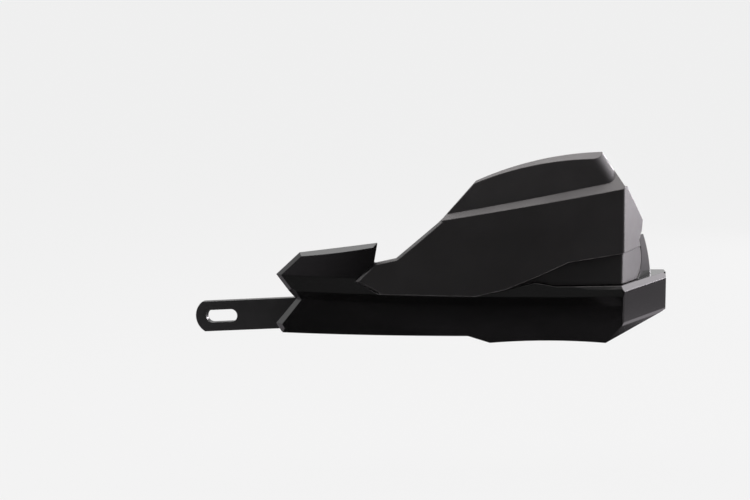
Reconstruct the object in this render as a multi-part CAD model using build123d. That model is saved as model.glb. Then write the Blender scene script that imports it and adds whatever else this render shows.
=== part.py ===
from build123d import *
import os
from math import cos, radians, sin, sqrt, tan

# Motorcycle hand guard for the left end of a handlebar, in millimetres.
# X points outboard along the handlebar, Y back to the rider and Z up.
# The origin is on the bar axis, on the outer face of the bar-end eye.
# Heights are measured from the bar axis. Front-view points are (inboard, height),
# where inboard is the distance from the guard's outer corner towards the rider's thumb.

# Bar-end eye and its bush
EYE_RADIUS = 13.0
EYE_THICK = 10.0
BUSH_BORE = 8.4
BUSH_WALL = 1.8

# Plan shape, shared by the beam and the deflector
CORNER_X = -35.5
CORNER_Y = -70.0
BOW_RADIUS = 600.0
BOW_APEX = 55.0
BEAM_RETURN = 58.0
SHIELD_RETURN = 66.0
EDGE_RADIUS = 2.5

# Walls and fits of the two mouldings
BEAM_WALL = 3.2
SHIELD_WALL = 3.0
FIT_GAP = 0.3

# Beam: groove along its front, lower edge, channel depth and ribs
GROOVE_HEIGHT = 0.0
GROOVE_SWING = 0.8
CHANNEL_DEPTH = 18.0
BOTTOM_INNER = (262.0, -23.5)
BOTTOM_STEP_TOP = (104.3, -20.8)
BOTTOM_STEP_FOOT = (89.6, -25.2)
BOTTOM_ARCH = (52.0, -23.4)
BOTTOM_OUTER = (11.8, -25.3)
RIB_THICK = 2.0
RIB_DEPTH = 13.0
RIB_FIRST = 20.0
RIB_PITCH = 20.0
RIB_COUNT = 5

# Fin and swallow-tailed inner end of the beam
FIN_CREASE = 16.5
FIN_CREASE_BACK = 2.6
FIN_FLARE = 10.0
TAIL_LOW = (230.3, -23.5)
TAIL_LOW_TIP = (234.4, -17.2)
TAIL_NOTCH = (220.5, GROOVE_HEIGHT)
TAIL_TOP_TIP = (234.2, FIN_CREASE)
FIN_INNER = (218.0, 32.7)
FIN_OUTER = (165.2, 41.4)

# Parting line, where the deflector lies in the frame's rebate
PARTING_NOTCH = (167.5, 27.4)
PARTING_TIP = (180.2, 14.3)
PARTING_LOW = (164.2, 6.2)
PARTING_RISE = (99.5, 6.2)
PARTING_PEAK = (59.2, 15.5)
PARTING_DIP = (45.8, EYE_RADIUS)

# Deflector: lean, slanted step with the band above it, top lip
SHIELD_LEAN = 5.0
SHIELD_SIDE_LEAN = 2.0
RIDGE_INNER = (122.4, 57.2)
RIDGE_MID = (62.2, 69.8)
RIDGE_OUTER = (2.0, 78.0)
RIDGE_TILT = 37.0
RIDGE_STEP = 4.0
BAND_LEAN = 11.0
BAND_SWING = -0.6
BAND_FOOT = (0.0, 81.0)
BAND_SHOULDER = (9.0, 94.7)
BAND_RETURN = 90.0
BAND_RADIUS = 12.0
LIP_INNER = (103.9, 77.8)
LIP_MID = (51.3, 92.8)
LIP_OUTER = (16.0, 94.6)
LIP_RISE = 24.0
LIP_DEPTH = 9.5
LIP_SWING = 4.0
SHIELD_ELBOW = (152.7, 31.0)

# Deflector: lower facet, cut back at the corner under a crease
CUT_REACH = 87.2
CUT_DEPTH = 6.0
CUT_SIDE = 1.7
CUT_TWIST = 7.0
CUT_RETURN = 55.0
CREASE_HEIGHT = 35.1
CREASE_MID = (37.3, 29.4)
CREASE_LOW = (59.2, 19.5)
CREASE_END = (87.2, 8.0)

# Side view of the return, as (Y, height): rear edge of the deflector and tab of the frame
SHIELD_REAR = (-28.0, 52.2)
SHIELD_HEEL = (-31.0, 45.0)
GAP_TOP = (-37.0, 39.8)
GAP_BULGE = (-33.0, 28.0)
GAP_LOW = (-41.0, EYE_RADIUS)
TAB_TOP = (-31.5, 46.0)
TAB_BULGE = (-20.0, 29.5)
TAB_FOOT = (-15.0, EYE_RADIUS)
TAB_CROWN = 42.5

# Carrier behind the deflector: top edge in front view
CARRIER_TOP = 36.0
CARRIER_CORNER = 6.0
CARRIER_SHOULDER = 138.0
CARRIER_DIP = (152.0, 28.0)
CARRIER_END = (163.0, 25.8)

# Mounting strap
STRAP_WIDTH = 21.0
STRAP_THICK = 5.0
STRAP_LENGTH = 164.0
STRAP_START = 134.5
STRAP_STANDOFF = 3.0
STRAP_YAW = 16.0
STRAP_DROOP = 5.3
STRAP_RISE = -3.0
STRAP_END_RADIUS = 12.5
SLOT_WIDTH = 8.7
SLOT_LENGTH = 23.0
SLOT_EDGE = 7.5
STRAP_RELIEF = 0.6

# Bevels on the front edges
TAIL_BEVEL_WIDTH = 2.6
TAIL_BEVEL_DEPTH = 2.2
SHIELD_BEVEL = 1.6
LEDGE_BEVEL_IN = 2.6
LEDGE_BEVEL_DROP = 3.6
LEDGE_FULL = 24.0
LEDGE_START = 0.3
LOW_BEVEL = 1.4
BEVEL_OVERRUN = 0.5

# Strap screws, washers and inserts
STRAP_HOLE_FIRST = 15.0
STRAP_HOLE_PITCH = 52.0
STRAP_HOLES = 2
STRAP_BOSS_RADIUS = 6.5

# Deflector screws: places in front view, and the pads they seat on
SHIELD_SCREWS = [(148.0, 17.5), (106.0, 20.0), (66.0, 27.0), (24.0, 22.5)]
SHIELD_BOSS_RADIUS = 4.75
PAD_RADIUS = 8.0
PAD_HEIGHT = 2.0
BOSS_SHORT = 0.2
SKIN_OVERLAP = 1.5
BOSS_REACH = 50.0

# Screw sizes: thread radius, hexagon head's width and height, washer, hexagon insert's half width
STRAP_FASTENER = dict(thread=3.0, head=10.0, head_height=4.0, washer=6.5, washer_thick=1.6,
                      insert=4.0, insert_length=6.0)
SHIELD_FASTENER = dict(thread=2.5, head=8.0, head_height=3.5, washer=7.5, washer_thick=1.2,
                       insert=3.2, insert_length=5.5)
THREAD_CLEARANCE = 0.05
SEAT_CLEARANCE = 0.02
HOLE_CLEARANCE = 0.25
SCREW_SHORT = 0.5

# Limits of the construction solids, beyond the finished guard
INNER_LIMIT = -300.0
REAR_LIMIT = 60.0
LOW_LIMIT = -45.0
HIGH_LIMIT = 130.0
FAR = 200.0

LEAST_RADIUS = 0.6
FLATNESS = 1e-9

CORNER = Vector(CORNER_X, CORNER_Y)
BOW_CENTRE = CORNER + Vector(-BOW_APEX, sqrt(BOW_RADIUS**2 - BOW_APEX**2))
LEAN_BASE = PARTING_LOW[1]


def front(point):
    """Front-view point as X and Z."""
    return (CORNER_X - point[0], point[1])


def unit(angle):
    """Plan direction at an angle from X."""
    return Vector(cos(radians(angle)), sin(radians(angle)))


def to_left(way):
    """Plan direction a quarter turn to the left, which is into the guard."""
    return Vector(-way.Y, way.X)


def bow_point(x, centre=BOW_CENTRE, radius=BOW_RADIUS):
    """Point of a bowed front line at one X."""
    return Vector(x, centre.Y - sqrt(radius**2 - (x - centre.X) ** 2))


def line_on_bow(start, way, centre, radius):
    """Where a return line meets a bowed front line."""
    from_centre = start - centre
    along = from_centre.dot(way)
    return start - way * (along + sqrt(along**2 - from_centre.length**2 + radius**2))


def lines_meet(start, way, other_start, other_way):
    """Where two plan lines meet."""
    gap = other_start - start
    turn = way.X * other_way.Y - way.Y * other_way.X
    return start + way * ((gap.X * other_way.Y - gap.Y * other_way.X) / turn)


def bend(hub, start, end):
    """Arc round a hub from one tangent point to the other."""
    middle = (start - hub + end - hub).normalized() * (start - hub).length
    return ThreePointArc(start, hub + middle, end)


def ring(front_edges, way, inset, z):
    """Plan outline at one height: front edges, the return's line and sides far behind."""
    start = front_edges[0] @ 0
    join = front_edges[-1] @ 1
    rear = REAR_LIMIT + inset
    end = join + way * ((rear - join.Y) / way.Y)
    inner = Vector(INNER_LIMIT - inset, rear)
    edges = front_edges + [Line(join, end), Line(end, inner), Line(inner, start)]
    return [Pos(0, 0, z) * edge for edge in edges]


def bow_arc(end, centre, radius, inset):
    """Bowed front line from beyond the inner end to a given point."""
    left = INNER_LIMIT - inset
    middle = bow_point((left + end.X) / 2, centre, radius)
    return ThreePointArc(bow_point(left, centre, radius), middle, end)


def bow_centre(back, swing):
    """Centre of a bowed front line that is set back and swung about the corner."""
    return (BOW_CENTRE - CORNER).rotate(Axis.Z, -swing) + CORNER + Vector(0, back)


def plan(z, angle, inset=0.0, back=0.0, inward=0.0, swing=0.0, radius=EDGE_RADIUS):
    """Outline of a bowed front and a straight return, with a rounded corner."""
    centre = bow_centre(back, swing)
    bow = BOW_RADIUS - inset
    way = unit(angle)
    into = to_left(way)
    curve = max(radius - inset, LEAST_RADIUS)
    hub = line_on_bow(CORNER + into * (inset + inward + curve), way, centre, bow - curve)
    leave = centre + (hub - centre) * (bow / (bow - curve))
    edges = [bow_arc(leave, centre, bow, inset), bend(hub, leave, hub - into * curve)]
    return ring(edges, way, inset, z)


def cut_corner(z):
    """Corner of the lower facet, which is cut back further with height."""
    return CORNER + Vector(-CUT_SIDE, CUT_DEPTH + tan(radians(CUT_TWIST)) * (z - LEAN_BASE))


def cut_plan(z, inset=0.0, back=0.0, inward=0.0):
    """Outline whose corner is cut back by a straight line, as on the lower facet."""
    centre = BOW_CENTRE + Vector(0, back)
    tip = bow_point(CORNER_X - CUT_REACH)
    corner = cut_corner(z)
    run = (corner - tip).normalized()
    way = (CORNER + unit(SHIELD_RETURN) * CUT_RETURN - corner).normalized()
    curve = max(EDGE_RADIUS - inset, LEAST_RADIUS)
    front_in = to_left(run)
    side_in = to_left(way)
    front_start = corner + Vector(0, back) + front_in * (inset + curve)
    hub = lines_meet(front_start, run, corner + side_in * (inset + inward + curve), way)
    start = bow_point(tip.X, centre, BOW_RADIUS - inset)
    leave = hub - front_in * curve
    edges = [
        bow_arc(start, centre, BOW_RADIUS - inset, inset),
        Line(start, leave),
        bend(hub, leave, hub - side_in * curve),
    ]
    return ring(edges, way, inset, z)


def ruled_side(low, high):
    """Face between two edges of neighbouring outlines, flat where they are parallel lines."""
    if low.geom_type == GeomType.LINE and (low % 0).cross(high % 0).length < FLATNESS:
        return Face(Wire.make_polygon([low @ 0, low @ 1, high @ 1, high @ 0]))
    return Face.make_surface_from_curves(low, high)


def ruled_solid(rings):
    """Solid with straight sides from each outline to the next."""
    faces = [Face(Wire(rings[0])), Face(Wire(rings[-1]))]
    for low, high in zip(rings[:-1], rings[1:]):
        faces += [ruled_side(a, b) for a, b in zip(low, high)]
    return Solid(Shell(faces))


def lean(z):
    """How far the deflector's front has leaned back at one height."""
    return tan(radians(SHIELD_LEAN)) * (z - LEAN_BASE)


def side_lean(z):
    """How far the deflector's return has leaned inward at one height."""
    return tan(radians(SHIELD_SIDE_LEAN)) * (z - LEAN_BASE)


def shield_main(inset):
    """Solid behind the deflector's main plane and return."""
    levels = [LOW_LIMIT, HIGH_LIMIT]
    return ruled_solid([plan(z, SHIELD_RETURN, inset, lean(z), side_lean(z)) for z in levels])


def shield_cut(inset):
    """Solid behind the deflector's lower facet."""
    levels = [LOW_LIMIT, HIGH_LIMIT]
    return ruled_solid([cut_plan(z, inset, lean(z), side_lean(z)) for z in levels])


def band_end(z):
    """How far inboard the band ends at one height."""
    slope = (BAND_SHOULDER[0] - BAND_FOOT[0]) / (BAND_SHOULDER[1] - BAND_FOOT[1])
    return BAND_FOOT[0] + slope * (z - BAND_FOOT[1])


def shield_band(inset, swing, beyond=0.0):
    """Solid behind the band above the slanted step, its rolled end moved out by a distance."""
    foot = lean(RIDGE_OUTER[1]) + RIDGE_STEP
    rings = []
    for z in [0.0, HIGH_LIMIT]:
        back = foot + tan(radians(BAND_LEAN)) * (z - RIDGE_OUTER[1])
        rings.append(plan(z, BAND_RETURN, inset, back, band_end(z) - beyond, swing, BAND_RADIUS))
    return ruled_solid(rings)


def front_prism(sketch, direction=(0, 1, 0), plane_y=0.0):
    """Front-view sketch carried both ways through the guard."""
    way = Vector(*direction).normalized()
    start = Pos(0, plane_y, 0) * Pos(way * -FAR) * (Plane.XZ * sketch)
    return extrude(start, 2 * FAR, dir=way)


def corner_between(before, point, after, distance):
    """Corner of an outline whose two sides are both moved to their left by a distance."""
    first = (Vector(point) - Vector(before)).normalized()
    second = (Vector(after) - Vector(point)).normalized()
    lift = distance / (1 + first.dot(second))
    return Vector(point) + Vector(-first.Y - second.Y, first.X + second.X) * lift


def front_polygon(points, inset=0.0):
    """Front-view sketch from points measured from the outer corner, moved in by an inset."""
    ring = [front(p) for p in points]
    moved = []
    for i, point in enumerate(ring):
        moved.append(corner_between(ring[i - 1], point, ring[(i + 1) % len(ring)], inset))
    return Polygon(*moved, align=None)


def side_prism(outline, x_from, x_to):
    """Side-view outline, as Y and Z, carried along X."""
    face = Plane.YZ * make_face(outline)
    return extrude(Pos(x_from, 0, 0) * face, x_to - x_from, dir=(1, 0, 0))


def under_arch(points, rise, inset):
    """Space below an arched front-view line that rises towards the back by an angle."""
    drop = inset / cos(radians(rise))
    top = ThreePointArc(*[front((p[0], p[1] - drop)) for p in points])
    start = top @ 0
    end = top @ 1
    rest = Polyline(
        end,
        end + (top % 1) * FAR,
        (FAR, -FAR),
        (-2 * FAR, -FAR),
        start - (top % 0) * FAR,
        start,
    )
    way = (0, cos(radians(rise)), sin(radians(rise)))
    return front_prism(make_face([top, rest]), way, CORNER_Y + lean(points[-1][1]))


def under_ridge(inset):
    """Space below the slanted step of the deflector."""
    return under_arch((RIDGE_INNER, RIDGE_MID, RIDGE_OUTER), RIDGE_TILT, inset)


def under_lip(inset):
    """Space below the deflector's top lip."""
    return under_arch((LIP_INNER, LIP_MID, LIP_OUTER), LIP_RISE, inset)


def under_crease(inset):
    """Front-view space below the crease over the lower facet."""
    crease = [(-FAR, CREASE_HEIGHT), (0, CREASE_HEIGHT), CREASE_MID, CREASE_LOW, CREASE_END]
    raised = [(p[0], p[1] + inset) for p in crease]
    return front_prism(front_polygon(raised + [(CREASE_END[0], -FAR), (-FAR, -FAR)]))


def ridge_end():
    """Side-view point, as Y and height, halfway up the slanted step's slope at the return."""
    half = RIDGE_STEP / 2
    return (CORNER_Y + lean(RIDGE_OUTER[1]) + half, RIDGE_OUTER[1] + half * tan(radians(RIDGE_TILT)))


def beyond_band(inset):
    """Front-view space above the deflector's return, outboard of the band's end."""
    low = ridge_end()[1]
    foot = (band_end(low) + FIT_GAP, low)
    top = (band_end(HIGH_LIMIT) + FIT_GAP, HIGH_LIMIT)
    return front_prism(front_polygon([(-FAR, low), (-FAR, HIGH_LIMIT), top, foot], -inset))


def over_chord(drop):
    """Front-view space above the straight line between the slanted step's ends, lowered by a drop."""
    slope = (RIDGE_OUTER[1] - RIDGE_INNER[1]) / (RIDGE_INNER[0] - RIDGE_OUTER[0])
    ends = [(x, RIDGE_OUTER[1] + slope * (RIDGE_OUTER[0] - x)) for x in (-FAR, 2 * FAR)]
    return front_prism(front_polygon([ends[0], (-FAR, FAR), (2 * FAR, FAR), ends[1]], -drop))


def shield_body(inset):
    """Everything behind the deflector's outer faces, moved in by an inset."""
    lower = shield_main(inset) & under_ridge(inset) - beyond_band(inset)
    upper = shield_band(inset, -BAND_SWING) & under_lip(inset) & over_chord(inset + SHIELD_WALL)
    return (lower + upper) - (under_crease(inset) - shield_cut(inset))


def parting_points():
    """Parting line from the notch to beyond the return."""
    return [
        PARTING_NOTCH,
        PARTING_TIP,
        PARTING_LOW,
        PARTING_RISE,
        PARTING_PEAK,
        PARTING_DIP,
        (-FAR, PARTING_DIP[1]),
    ]


def gap_edges(shift):
    """Rear edge of the deflector's return over the tab, as side-view edges."""
    points = [(p[0] + shift, p[1]) for p in (GAP_TOP, GAP_BULGE, GAP_LOW)]
    return ThreePointArc(*points)


def bevel_cut(stations):
    """Wedges that bevel an edge; each station is a point and the two ways the bevel reaches."""
    slices = []
    for point, first, second in stations:
        along = (second - first) * BEVEL_OVERRUN
        outside = point - first - second
        corners = [point + first - along, point + second + along, outside]
        slices.append(Face(Wire.make_polygon(corners)))
    return [loft(pair, ruled=True) for pair in zip(slices[:-1], slices[1:])]


def split_at(points, heights):
    """Front-view points with more points put in where their lines cross given heights."""
    line = [points[0]]
    for start, end in zip(points[:-1], points[1:]):
        shares = [(h - start[1]) / (end[1] - start[1]) for h in heights]
        for share in sorted(s for s in shares if 0 < s < 1):
            line.append((start[0] + (end[0] - start[0]) * share, start[1] + (end[1] - start[1]) * share))
        line.append(end)
    return line


def outline_stations(points, skin, width, depth):
    """Bevel stations on the inner corners of a front-view outline, its body on the left."""
    ring_points = [Vector(*front(p)) for p in points]
    stations = []
    for before, point, after in zip(ring_points[:-2], ring_points[1:-1], ring_points[2:]):
        inner = corner_between(before, point, after, width)
        outer = Vector(point.X, skin(point.X, point.Y), point.Y)
        reach = Vector(inner.X, skin(inner.X, inner.Y), inner.Y) - outer
        stations.append((outer, reach, Vector(0, depth, 0)))
    return stations


def shield_skin_y(x, z):
    """Y of the deflector's main plane at one place."""
    return bow_point(x).Y + lean(z)


def beam_skin_y(x, z):
    """Y of the beam's and fin's front at one place."""
    levels = beam_levels()
    for low, high in zip(levels[:-1], levels[1:]):
        if low[0] <= z <= high[0]:
            share = (z - low[0]) / (high[0] - low[0])
            ends = [level_y(x, back, swing) for _, back, swing in (low, high)]
            return ends[0] + (ends[1] - ends[0]) * share
    raise ValueError("height outside the beam")


def level_y(x, back, swing):
    """Y of a bowed front line that is set back and swung about the corner."""
    return bow_point(x, bow_centre(back, swing)).Y


def make_wind_deflector():
    """Deflector shell, trimmed to its outline."""
    shell = shield_body(0) - shield_body(SHIELD_WALL)
    inner_slope = (RIDGE_INNER[0] - LIP_INNER[0]) / (LIP_INNER[1] - RIDGE_INNER[1])
    inner_top = (LIP_INNER[0] - inner_slope * (HIGH_LIMIT - LIP_INNER[1]), HIGH_LIMIT)
    outline = parting_points() + [(-FAR, HIGH_LIMIT), inner_top, RIDGE_INNER, SHIELD_ELBOW]
    shell &= front_prism(front_polygon(outline, FIT_GAP))
    lip_back = shield_band(LIP_DEPTH, -LIP_SWING - BAND_SWING, FAR)
    side_x = front(RIDGE_OUTER)[0] - SHIELD_WALL
    above = Pos(0, 0, ridge_end()[1]) * Box(
        6 * FAR, 6 * FAR, FAR, align=(Align.CENTER, Align.CENTER, Align.MIN)
    )
    inboard = Pos(side_x, 0, RIDGE_INNER[1]) * Box(
        6 * FAR, 6 * FAR, FAR, align=(Align.MAX, Align.CENTER, Align.MIN)
    )
    shell -= lip_back & (above + inboard)
    gap = gap_edges(0)
    rear = Polyline(
        GAP_LOW,
        (GAP_LOW[0], -FAR),
        (FAR, -FAR),
        (FAR, ridge_end()[1]),
        (ridge_end()[0] + SHIELD_WALL, ridge_end()[1]),
        SHIELD_REAR,
        SHIELD_HEEL,
        GAP_TOP,
    )
    shell -= side_prism([gap, rear], side_x, FAR)
    edge = [PARTING_RISE, PARTING_LOW, PARTING_TIP, PARTING_NOTCH, SHIELD_ELBOW, RIDGE_INNER, inner_top]
    for wedge in bevel_cut(outline_stations(edge[::-1], shield_skin_y, SHIELD_BEVEL, SHIELD_BEVEL)):
        shell -= wedge
    core = shield_body(SKIN_OVERLAP)
    for seat in shield_seats():
        boss = seat * Pos(0, 0, -BOSS_SHORT) * rod(SHIELD_BOSS_RADIUS, -BOSS_REACH)
        shell += boss & core
        shell -= seat * Pos(0, 0, -BOSS_SHORT) * insert_hole(SHIELD_FASTENER)
    return shell


def beam_levels():
    """Heights of the beam's and fin's front, with how far each is set back and swung."""
    fin_top = FIN_CREASE_BACK - tan(radians(FIN_FLARE)) * (HIGH_LIMIT - FIN_CREASE)
    return [
        (LOW_LIMIT, 0.0, 0.0),
        (GROOVE_HEIGHT, 0.0, GROOVE_SWING),
        (PARTING_LOW[1], 0.0, 0.0),
        (FIN_CREASE, FIN_CREASE_BACK, 0.0),
        (HIGH_LIMIT, fin_top, 0.0),
    ]


def beam_skin(inset):
    """Solid behind the beam's front, the fin and the beam's return."""
    rings = [plan(z, BEAM_RETURN, inset, back, 0.0, swing) for z, back, swing in beam_levels()]
    return ruled_solid(rings)


def beam_depth(depth):
    """Plain solid at one depth behind the beam's outer face."""
    return ruled_solid([plan(z, BEAM_RETURN, depth) for z in (LOW_LIMIT - FAR, HIGH_LIMIT + FAR)])


def outside_rebate(inset):
    """Front-view space of the beam and fin, left and below the parting line."""
    fin_slope = (FIN_OUTER[0] - PARTING_NOTCH[0]) / (FIN_OUTER[1] - PARTING_NOTCH[1])
    fin_far = (PARTING_NOTCH[0] + fin_slope * FAR, PARTING_NOTCH[1] + FAR)
    far_side = [(2 * FAR, fin_far[1]), (2 * FAR, -FAR), (-FAR, -FAR)]
    return front_prism(front_polygon(far_side + parting_points()[::-1] + [fin_far], inset))


def over_bottom(inset):
    """Front-view space above the beam's lower edge."""
    up = [(p[0], p[1] + inset) for p in (BOTTOM_STEP_FOOT, BOTTOM_ARCH, BOTTOM_OUTER)]
    arch = ThreePointArc(*[front(p) for p in up])
    rest = Polyline(
        front(up[2]),
        (FAR, up[2][1]),
        (FAR, FAR),
        (-2 * FAR, FAR),
        (-2 * FAR, BOTTOM_INNER[1] + inset),
        front((BOTTOM_INNER[0], BOTTOM_INNER[1] + inset)),
        front((BOTTOM_STEP_TOP[0], BOTTOM_STEP_TOP[1] + inset)),
        front(up[0]),
    )
    return front_prism(make_face([arch, rest]))


def corner_cut(inset):
    """Half space under the facet that cuts the beam's lower outer corner."""
    top = Vector(CORNER_X, CORNER_Y, -EYE_RADIUS)
    along = Vector(cos(radians(BEAM_RETURN)), sin(radians(BEAM_RETURN)), 0)
    x, z = front(BOTTOM_OUTER)
    low = bow_point(x) + Vector(0, 0, z)
    plane = Plane(top, x_dir=along, z_dir=along.cross(low - top))
    return plane * Pos(0, 0, inset) * Box(
        3 * FAR, 3 * FAR, FAR, align=(Align.CENTER, Align.CENTER, Align.MAX)
    )


def underside_cut(inset):
    """Half space under the beam's underside, where it sweeps up to the bar end."""
    x, z = front(BOTTOM_OUTER)
    low = bow_point(x) + Vector(0, 0, z)
    end_y = CORNER_Y - CORNER_X * tan(radians(BEAM_RETURN))
    run = Vector(0, end_y, -EYE_RADIUS) - low
    across = Vector(-run.Y, run.X, 0)
    plane = Plane(low, x_dir=run, z_dir=run.cross(across))
    return plane * Pos(0, 0, inset) * Box(
        3 * FAR, 3 * FAR, FAR, align=(Align.CENTER, Align.CENTER, Align.MAX)
    )


def tab_zone(inset):
    """Side-view space behind the deflector's rear edge."""
    shift = FIT_GAP + inset
    gap = gap_edges(shift)
    heel = (SHIELD_HEEL[0] + shift, SHIELD_HEEL[1] - shift)
    low = gap @ 1
    rest = Polyline(low, (low.X, -FAR), (FAR, -FAR), (FAR, heel[1]), heel, gap @ 0)
    return side_prism([gap, rest], CORNER_X - CUT_REACH, FAR)


def frame_body(inset):
    """Everything behind the frame's outer faces, moved in by an inset."""
    skin = beam_skin(inset) & outside_rebate(inset)
    carrier = shield_cut(SHIELD_WALL + FIT_GAP + inset)
    tab = shield_main(inset) & tab_zone(inset)
    body = (skin + carrier + tab) & over_bottom(inset)
    inner_side = Pos(-inset, 0, 0) * Box(
        4 * FAR, 4 * FAR, 4 * FAR, align=(Align.MAX, Align.CENTER, Align.CENTER)
    )
    return (body & inner_side) - corner_cut(inset) - underside_cut(inset)


def make_frame_beam():
    """Frame moulding: beam, fin, carrier behind the deflector, return and eye."""
    wall = frame_body(0) - frame_body(BEAM_WALL) - beam_depth(CHANNEL_DEPTH)
    keep = [
        (-FAR, -FAR),
        (-FAR, TAB_CROWN),
        (-CARRIER_CORNER, TAB_CROWN),
        (CARRIER_CORNER, CARRIER_TOP),
        (CARRIER_SHOULDER, CARRIER_TOP),
        CARRIER_DIP,
        CARRIER_END,
        PARTING_NOTCH,
        FIN_OUTER,
        FIN_INNER,
        TAIL_TOP_TIP,
        TAIL_NOTCH,
        TAIL_LOW_TIP,
        TAIL_LOW,
        (TAIL_LOW[0], -FAR),
    ]
    wall &= front_prism(front_polygon(keep))
    tab_rear = ThreePointArc(TAB_TOP, TAB_BULGE, TAB_FOOT)
    rest = Polyline(TAB_FOOT, (FAR, EYE_RADIUS), (FAR, FAR), (TAB_TOP[0], FAR), TAB_TOP)
    wall -= side_prism([tab_rear, rest], CORNER_X - CUT_REACH, FAR)
    eye_round = ThreePointArc((0, EYE_RADIUS), (EYE_RADIUS, 0), (0, -EYE_RADIUS))
    eye_rest = Polyline(
        (0, -EYE_RADIUS),
        (TAB_FOOT[0], -EYE_RADIUS),
        (TAB_FOOT[0], -FAR),
        (FAR, -FAR),
        (FAR, FAR),
        (0, FAR),
        (0, EYE_RADIUS),
    )
    wall -= side_prism([eye_round, eye_rest], CORNER_X, FAR)
    upper = Pos(0, 0, PARTING_NOTCH[1]) * Box(
        6 * FAR, 6 * FAR, FAR, align=(Align.CENTER, Align.CENTER, Align.MIN)
    )
    fin_side = Pos(front(FIN_OUTER)[0], 0, 0) * Box(
        FAR, 6 * FAR, 6 * FAR, align=(Align.MAX, Align.CENTER, Align.CENTER)
    )
    wall -= beam_skin(BEAM_WALL) & upper & fin_side
    tail = [FIN_OUTER, FIN_INNER, TAIL_TOP_TIP, TAIL_NOTCH, TAIL_LOW_TIP, TAIL_LOW]
    creases = [level[0] for level in beam_levels()]
    ends = [PARTING_NOTCH] + split_at(tail, creases) + [BOTTOM_STEP_TOP]
    for wedge in bevel_cut(outline_stations(ends, beam_skin_y, TAIL_BEVEL_WIDTH, TAIL_BEVEL_DEPTH)):
        wall -= wedge
    core = frame_body(SKIN_OVERLAP)
    wall += ribs() & core
    wall -= strap_relief()
    for seat in strap_seats():
        wall += (seat * rod(STRAP_BOSS_RADIUS, -BOSS_REACH)) & core
        wall -= seat * insert_hole(STRAP_FASTENER)
    for seat in shield_seats():
        wall += (seat * rod(PAD_RADIUS, -BOSS_REACH)) & core
        wall -= seat * Pos(0, 0, BOSS_REACH) * rod(SHIELD_BOSS_RADIUS + FIT_GAP, -2 * BOSS_REACH)
    eye = Plane.YZ * Cylinder(EYE_RADIUS, EYE_THICK, align=(Align.CENTER, Align.CENTER, Align.MAX))
    wall += eye
    for wedge in bevel_cut(ledge_stations()) + bevel_cut(low_stations()):
        wall -= wedge
    seat_radius = BUSH_BORE / 2 + BUSH_WALL + SEAT_CLEARANCE
    wall -= Plane.YZ * Cylinder(seat_radius, 4 * EYE_THICK)
    return wall


def return_end():
    """Plan point at the outboard end of the beam's return."""
    way = unit(BEAM_RETURN)
    return CORNER + way * (-CORNER_X / way.X)


def ledge_stations():
    """Bevel stations along the beam's top edge, growing from the dip, round the corner to the eye."""
    way = unit(BEAM_RETURN)
    into = to_left(way) * LEDGE_BEVEL_IN
    back = Vector(0, LEDGE_BEVEL_IN, 0)
    drop = Vector(0, 0, -LEDGE_BEVEL_DROP)
    height = Vector(0, 0, EYE_RADIUS)
    inner = lines_meet(CORNER + back, Vector(1, 0), CORNER + into, way)
    share = LEDGE_START / LEDGE_BEVEL_IN
    return [
        (bow_point(front(PARTING_DIP)[0]) + height, back * share, drop * share),
        (bow_point(CORNER_X - LEDGE_FULL) + height, back, drop),
        (CORNER + height, inner - CORNER, drop),
        (return_end() + way * LEDGE_BEVEL_IN + height, into, drop),
    ]


def low_stations():
    """Bevel stations along the lower edge of the return, over the cut corner."""
    rise = Vector(0, 0, LOW_BEVEL)
    x, z = front(BOTTOM_OUTER)
    low = bow_point(x) + Vector(0, 0, z)
    depth = Vector(0, 0, -EYE_RADIUS)
    past = unit(BEAM_RETURN) * LOW_BEVEL
    fall = (low - CORNER - depth).normalized() * LOW_BEVEL
    return [(end + depth, rise, fall) for end in (CORNER - past, return_end() + past)]


def rod(radius, height):
    """Round bar from the seat plane, up or down."""
    align = Align.MIN if height > 0 else Align.MAX
    return Cylinder(radius, abs(height), align=(Align.CENTER, Align.CENTER, align))


def hexagon_bar(half_width, height):
    """Hexagon bar from the seat plane, up or down."""
    bar = extrude(RegularPolygon(half_width, 6, major_radius=False), abs(height))
    return bar if height > 0 else Pos(0, 0, height) * bar


def insert_hole(fastener):
    """Blind hole that takes a threaded insert, down from its seat."""
    return hexagon_bar(fastener["insert"] + SEAT_CLEARANCE, -fastener["insert_length"])


def ribs():
    """Upright plates inside the beam's channel."""
    plates = []
    for i in range(RIB_COUNT):
        x = CORNER_X - RIB_FIRST - i * RIB_PITCH
        plates.append(Pos(x, 0, LOW_LIMIT) * Box(
            RIB_THICK, 2 * FAR, EYE_RADIUS - LOW_LIMIT - BEAM_WALL,
            align=(Align.CENTER, Align.CENTER, Align.MIN)
        ))
    return (Part() + plates) & over_bottom(SKIN_OVERLAP) - beam_depth(RIB_DEPTH)


def strap_plane():
    """Plane of the strap's front face: X along it inboard, Y up across it, Z to the back."""
    x = CORNER_X - STRAP_START
    groove = tan(radians(GROOVE_SWING)) * STRAP_START
    y = bow_point(x).Y + BEAM_WALL + groove + STRAP_STANDOFF
    yaw = radians(STRAP_YAW)
    droop = radians(STRAP_DROOP)
    along = Vector(-cos(yaw) * cos(droop), sin(yaw) * cos(droop), -sin(droop))
    return Plane((x, y, STRAP_RISE), x_dir=along, z_dir=(sin(yaw), cos(yaw), 0))


def strap_seats():
    """Places on the strap's front face where its screws pass."""
    plane = strap_plane()
    return [plane * Pos(STRAP_HOLE_FIRST + i * STRAP_HOLE_PITCH, 0, 0) for i in range(STRAP_HOLES)]


def strap_relief():
    """Room for the strap where it passes the beam's lower flange."""
    width = STRAP_WIDTH + 2 * STRAP_RELIEF
    return strap_plane() * Pos(STRAP_LENGTH / 2, 0, -STRAP_RELIEF) * Box(
        STRAP_LENGTH + 2 * STRAP_RELIEF, width, FAR / 4,
        align=(Align.CENTER, Align.CENTER, Align.MIN)
    )


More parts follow.
